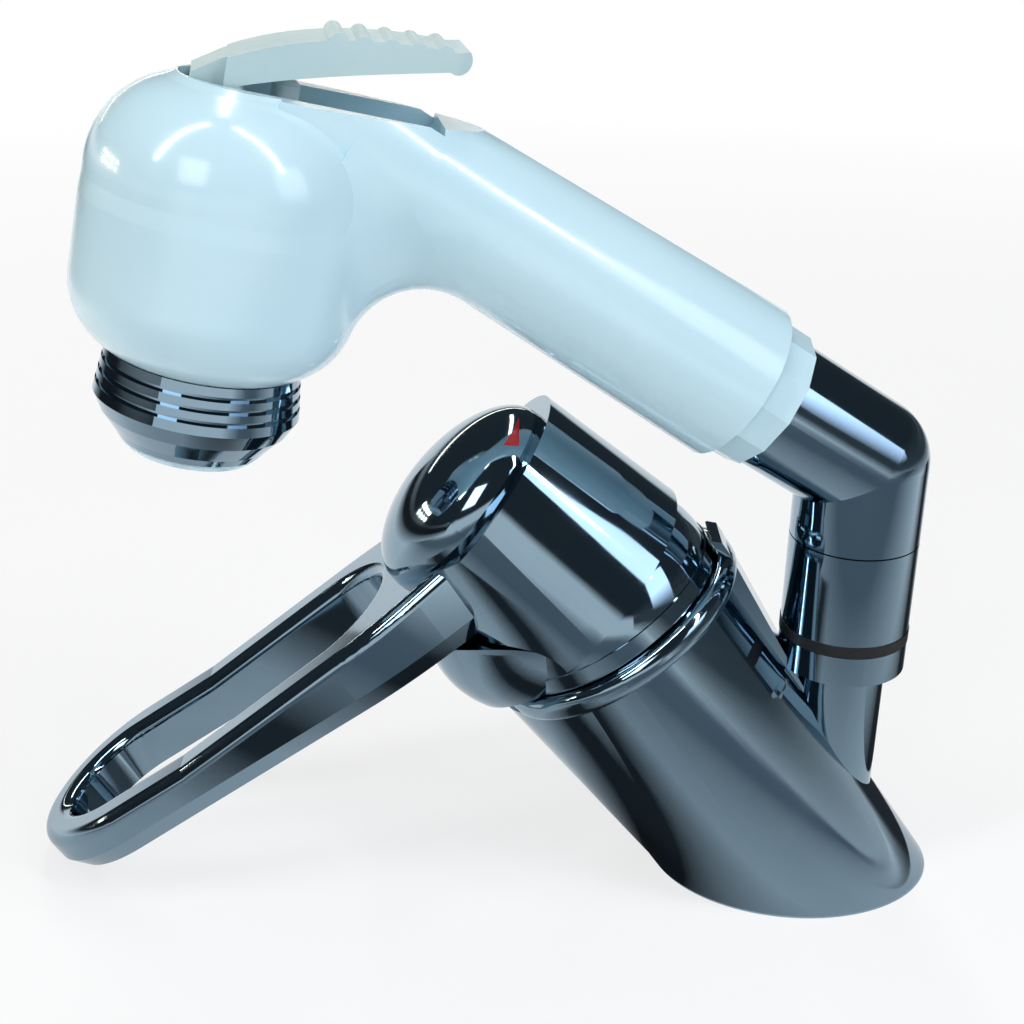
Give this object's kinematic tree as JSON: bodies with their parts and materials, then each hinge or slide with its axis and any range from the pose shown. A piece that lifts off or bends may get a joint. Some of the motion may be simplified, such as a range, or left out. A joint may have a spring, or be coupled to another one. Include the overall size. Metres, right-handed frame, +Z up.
{
  "type": "bath shower mixer",
  "caption": "Deck-mounted single-lever mixer with a leaning chromed barrel, a looped lever and a docked pull-out trigger hand shower on a swivel elbow",
  "frame": {"origin": "centre of the barrel's oval foot, on the deck", "axes": "+Z up from the deck, -Y towards the user and the lever's tip, +X the side the picture shows"},
  "size_m": [0.0706, 0.1879, 0.1721],
  "materials": {
    "chrome": "polished chromium plate",
    "white_plastic": "gloss moulded",
    "trigger_plastic": "satin moulded",
    "brass": "turned",
    "steel": "drawn stainless",
    "rubber": "moulded",
    "ceramic": "lapped ceramic",
    "grey_plastic": "moulded",
    "red_enamel": "gloss inlay",
    "blue_enamel": "gloss inlay"
  },
  "bodies": {
    "body": {"body_casting": "chrome", "cartridge_nut": "brass", "cartridge_housing": "grey_plastic", "cartridge_base": "grey_plastic", "hot_seal": "rubber", "cold_seal": "rubber", "mixed_seal": "rubber", "fixed_disc": "ceramic"},
    "turret": {"turning_hood": "chrome", "spindle_carrier": "grey_plastic", "pivot_pin": "steel"},
    "lever": {"lever_casting": "chrome", "lever_cap": "chrome", "lever_spindle": "brass", "lever_screw": "steel", "hot_mark": "red_enamel", "cold_mark": "blue_enamel"},
    "disc": {"moving_disc": "ceramic", "disc_driver": "grey_plastic"},
    "dock": {"dock_sleeve": "chrome", "dock_ring": "rubber", "swivel_ring": "rubber", "swivel_clip": "steel"},
    "handset": {"elbow": "chrome", "union_nut": "white_plastic", "union_washer": "rubber", "handset_housing": "white_plastic", "trigger_pin": "steel", "valve_spring": "steel", "spray_collar": "chrome", "jet_plate": "white_plastic", "spray_seal": "rubber"},
    "trigger": {"trigger": "trigger_plastic"},
    "valve": {"plunger": "grey_plastic", "plunger_seal": "rubber"}
  },
  "joints": [
    {"name": "lever_turn", "type": "hinge", "parent": "body", "child": "turret", "pos_m": [0, 0, 0], "axis": [0, -0.5821, 0.8131], "range_deg": [-45, 45]},
    {"name": "lever_lift", "type": "hinge", "parent": "turret", "child": "lever", "pos_m": [0, -0.04308, 0.06017], "axis": [-1, 0, 0], "range_deg": [0, 14]},
    {"name": "disc_slide", "type": "slide", "parent": "turret", "child": "disc", "axis": [0, -0.8131, -0.5821], "range_m": [0, 0.00345]},
    {"name": "handset_pull", "type": "slide", "parent": "body", "child": "dock", "axis": [0, 0, 1], "range_m": [0, 0.06]},
    {"name": "handset_swivel", "type": "hinge", "parent": "dock", "child": "handset", "pos_m": [0, 0.0067, 0.08], "axis": [0, 0, 1], "range_deg": [-60, 60]},
    {"name": "trigger_press", "type": "hinge", "parent": "handset", "child": "trigger", "pos_m": [0.01761, -0.11116, 0.16154], "axis": [-0.989, -0.1478, 0], "range_deg": [0, 12], "stiffness_Nm_per_rad": 0.05, "springref_deg": -6.88},
    {"name": "valve_push", "type": "slide", "parent": "handset", "child": "valve", "axis": [0.029, -0.1938, -0.9806], "range_m": [0, 0.00205], "deforming": ["valve_spring"]}
  ],
  "couplings": [
    {"joint": "disc_slide", "follows": "lever_lift", "m_per_rad": 0.01395},
    {"joint": "valve_push", "follows": "trigger_press", "m_per_rad": 0.0096}
  ]
}
